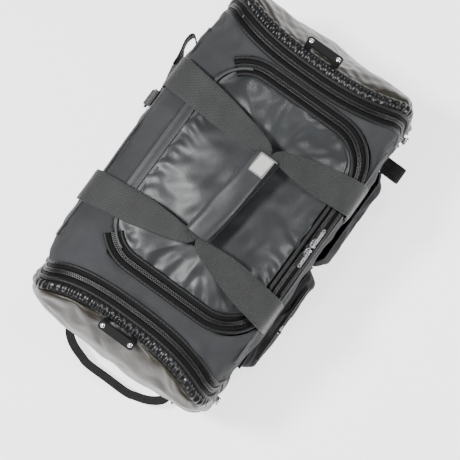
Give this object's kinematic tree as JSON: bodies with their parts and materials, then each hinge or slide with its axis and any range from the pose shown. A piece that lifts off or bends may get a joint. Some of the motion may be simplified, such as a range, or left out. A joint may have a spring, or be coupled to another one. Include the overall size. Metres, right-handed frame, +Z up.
{
  "type": "rolling duffel bag",
  "caption": "Soft duffel bag with a zipped lift-up flap, zipped domes on both ends, webbing carry handles joined by a grip wrap, side pockets, a shoulder strap and two wheels.",
  "frame": {"origin": "on the floor at the middle of the overall box, about 26 mm towards end A from the middle of the fabric body", "axes": "+Z up; +X towards the wheeled end B; +Y the left side, where the shoulder strap hangs"},
  "size_m": [0.6312, 0.4008, 0.3388],
  "materials": {
    "body_fabric": "matte woven polyester",
    "coated_grey": "coated fabric with a soft sheen",
    "coated_taupe": "coated fabric with a soft sheen",
    "pocket_fabric": "matte woven polyester",
    "grey_webbing": "woven nylon webbing",
    "black_webbing": "woven nylon webbing",
    "air_mesh": "spacer mesh with a herringbone knit",
    "zip_tape": "zip tape with coil teeth",
    "piping": "coated piping",
    "lining": "plain lining",
    "label_white": "woven label, blank",
    "board": "matt",
    "moulded": "matt",
    "hub_plastic": "satin",
    "grab_rubber": "matt",
    "foot_rubber": "matt",
    "tyre": "matt",
    "steel": "brushed",
    "nickel": "polished nickel",
    "dark_metal": "gunmetal"
  },
  "bodies": {
    "bag": {"body_shell": "body_fabric", "base_board": "board", "dividers": "lining", "skid_rails": "moulded", "feet": "foot_rubber", "wheel_housings": "moulded", "axles": "steel", "base_screws": "steel", "piping": "piping", "main_zip_body": "zip_tape", "end_zip_body_a": "zip_tape", "end_zip_body_b": "zip_tape", "strap_anchors": "grey_webbing", "zip_pocket": "pocket_fabric", "pocket_zip": "zip_tape", "slip_pocket": "pocket_fabric", "side_tab": "black_webbing", "haul_brackets": "moulded", "d_rings": "nickel", "ring_tabs": "black_webbing", "snap_hooks": "nickel", "shoulder_webbing": "black_webbing", "shoulder_pad": "air_mesh", "strap_adjuster": "moulded"},
    "main_flap": {"main_flap": "coated_grey", "main_zip_flap": "zip_tape"},
    "handle_left": {"handle_left": "grey_webbing", "grip_wrap": "coated_grey", "label_patch": "label_white"},
    "handle_right": {"handle_right": "grey_webbing"},
    "haul_loop": {"haul_loop": "black_webbing"},
    "wheel_left": {"wheel_hub_left": "hub_plastic", "tyre_left": "tyre", "bearings_left": "steel"},
    "wheel_right": {"wheel_hub_right": "hub_plastic", "tyre_right": "tyre", "bearings_right": "steel"},
    "main_slider_a": {"main_slider_a": "dark_metal"},
    "main_slider_b": {"main_slider_b": "dark_metal"},
    "main_pull_a": {"main_pull_a": "dark_metal"},
    "main_pull_b": {"main_pull_b": "dark_metal"},
    "pocket_slider": {"pocket_slider": "dark_metal"},
    "pocket_pull": {"pocket_pull": "nickel"},
    "end_cap_a": {"end_cap_a": "coated_taupe", "end_zip_cap_a": "zip_tape", "grab_handle_a": "grab_rubber", "grab_rivets_a": "nickel"},
    "end_slider_a_low": {"end_slider_a_low": "nickel"},
    "end_pull_a_low": {"end_pull_a_low": "nickel"},
    "end_slider_a_high": {"end_slider_a_high": "nickel"},
    "end_pull_a_high": {"end_pull_a_high": "nickel"},
    "end_cap_b": {"end_cap_b": "coated_taupe", "end_zip_cap_b": "zip_tape", "grab_handle_b": "grab_rubber", "grab_rivets_b": "nickel"},
    "end_slider_b_low": {"end_slider_b_low": "nickel"},
    "end_pull_b_low": {"end_pull_b_low": "nickel"},
    "end_slider_b_high": {"end_slider_b_high": "nickel"},
    "end_pull_b_high": {"end_pull_b_high": "nickel"}
  },
  "joints": [
    {"name": "main_flap_hinge", "type": "hinge", "parent": "bag", "child": "main_flap", "pos_m": [0.02045, 0.104, 0.28494], "axis": [-1, 0, 0], "range_deg": [0, 70]},
    {"name": "handle_left_hinge", "type": "hinge", "parent": "bag", "child": "handle_left", "pos_m": [0.02045, 0.16204, 0.238], "axis": [-1, 0, 0], "range_deg": [0, 161]},
    {"name": "handle_right_hinge", "type": "hinge", "parent": "bag", "child": "handle_right", "pos_m": [0.02045, -0.16204, 0.238], "axis": [1, 0, 0], "range_deg": [0, 161]},
    {"name": "end_cap_a_hinge", "type": "hinge", "parent": "bag", "child": "end_cap_a", "pos_m": [-0.26755, 0, 0.066], "axis": [0, -1, 0], "range_deg": [0, 70]},
    {"name": "end_cap_b_hinge", "type": "hinge", "parent": "bag", "child": "end_cap_b", "pos_m": [0.30845, 0, 0.066], "axis": [0, 1, 0], "range_deg": [0, 70]},
    {"name": "haul_loop_hinge", "type": "hinge", "parent": "bag", "child": "haul_loop", "pos_m": [-0.27455, -0.008, 0.045], "axis": [0, 1, 0], "range_deg": [0, 36]},
    {"name": "wheel_left_spin", "type": "hinge", "parent": "bag", "child": "wheel_left", "pos_m": [0.27845, 0.12, 0.03], "axis": [0, 1, 0], "continuous": true},
    {"name": "wheel_right_spin", "type": "hinge", "parent": "bag", "child": "wheel_right", "pos_m": [0.27845, -0.12, 0.03], "axis": [0, 1, 0], "continuous": true},
    {"name": "main_slider_a_run", "type": "slide", "parent": "main_flap", "child": "main_slider_a", "axis": [-1, 0, 0], "range_m": [0, 0.08]},
    {"name": "main_slider_b_run", "type": "slide", "parent": "main_flap", "child": "main_slider_b", "axis": [1, 0, 0], "range_m": [0, 0.08]},
    {"name": "main_pull_a_swing", "type": "hinge", "parent": "main_slider_a", "child": "main_pull_a", "pos_m": [0.02645, -0.14616, 0.27936], "axis": [0, 0.7881, 0.6155], "range_deg": [0, 130]},
    {"name": "main_pull_b_swing", "type": "hinge", "parent": "main_slider_b", "child": "main_pull_b", "pos_m": [0.03445, -0.14616, 0.27936], "axis": [0, -0.7881, -0.6155], "range_deg": [0, 130]},
    {"name": "pocket_slider_run", "type": "slide", "parent": "bag", "child": "pocket_slider", "axis": [1, 0, 0], "range_m": [-0.045, 0.075]},
    {"name": "pocket_pull_swing", "type": "hinge", "parent": "pocket_slider", "child": "pocket_pull", "pos_m": [-0.08805, -0.18411, 0.17584], "axis": [0, -0.384, -0.9233], "range_deg": [0, 120]},
    {"name": "end_slider_a_low_run", "type": "slide", "parent": "end_cap_a", "child": "end_slider_a_low", "axis": [0.2405, 0, 0.9707], "range_m": [-0.012, 0]},
    {"name": "end_slider_a_high_run", "type": "slide", "parent": "end_cap_a", "child": "end_slider_a_high", "axis": [0.2405, 0, 0.9707], "range_m": [0, 0.09]},
    {"name": "end_pull_a_low_swing", "type": "hinge", "parent": "end_slider_a_low", "child": "end_pull_a_low", "pos_m": [-0.22598, -0.1715, 0.09858], "axis": [-0.9707, 0, 0.2405], "range_deg": [0, 110]},
    {"name": "end_pull_a_high_swing", "type": "hinge", "parent": "end_slider_a_high", "child": "end_pull_a_high", "pos_m": [-0.23065, -0.17188, 0.10798], "axis": [-0.9707, 0, 0.2405], "range_deg": [0, 110]},
    {"name": "end_slider_b_low_run", "type": "slide", "parent": "end_cap_b", "child": "end_slider_b_low", "axis": [-0.2405, 0, 0.9707], "range_m": [-0.012, 0]},
    {"name": "end_slider_b_high_run", "type": "slide", "parent": "end_cap_b", "child": "end_slider_b_high", "axis": [-0.2405, 0, 0.9707], "range_m": [0, 0.09]},
    {"name": "end_pull_b_low_swing", "type": "hinge", "parent": "end_slider_b_low", "child": "end_pull_b_low", "pos_m": [0.26687, -0.1715, 0.09858], "axis": [-0.9707, 0, -0.2405], "range_deg": [0, 110]},
    {"name": "end_pull_b_high_swing", "type": "hinge", "parent": "end_slider_b_high", "child": "end_pull_b_high", "pos_m": [0.27155, -0.17188, 0.10798], "axis": [-0.9707, 0, -0.2405], "range_deg": [0, 110]}
  ],
  "couplings": [
    {"joint": "handle_left_hinge", "follows": "main_flap_hinge", "ratio": 2.3},
    {"joint": "handle_right_hinge", "follows": "main_flap_hinge", "ratio": 2.3}
  ]
}
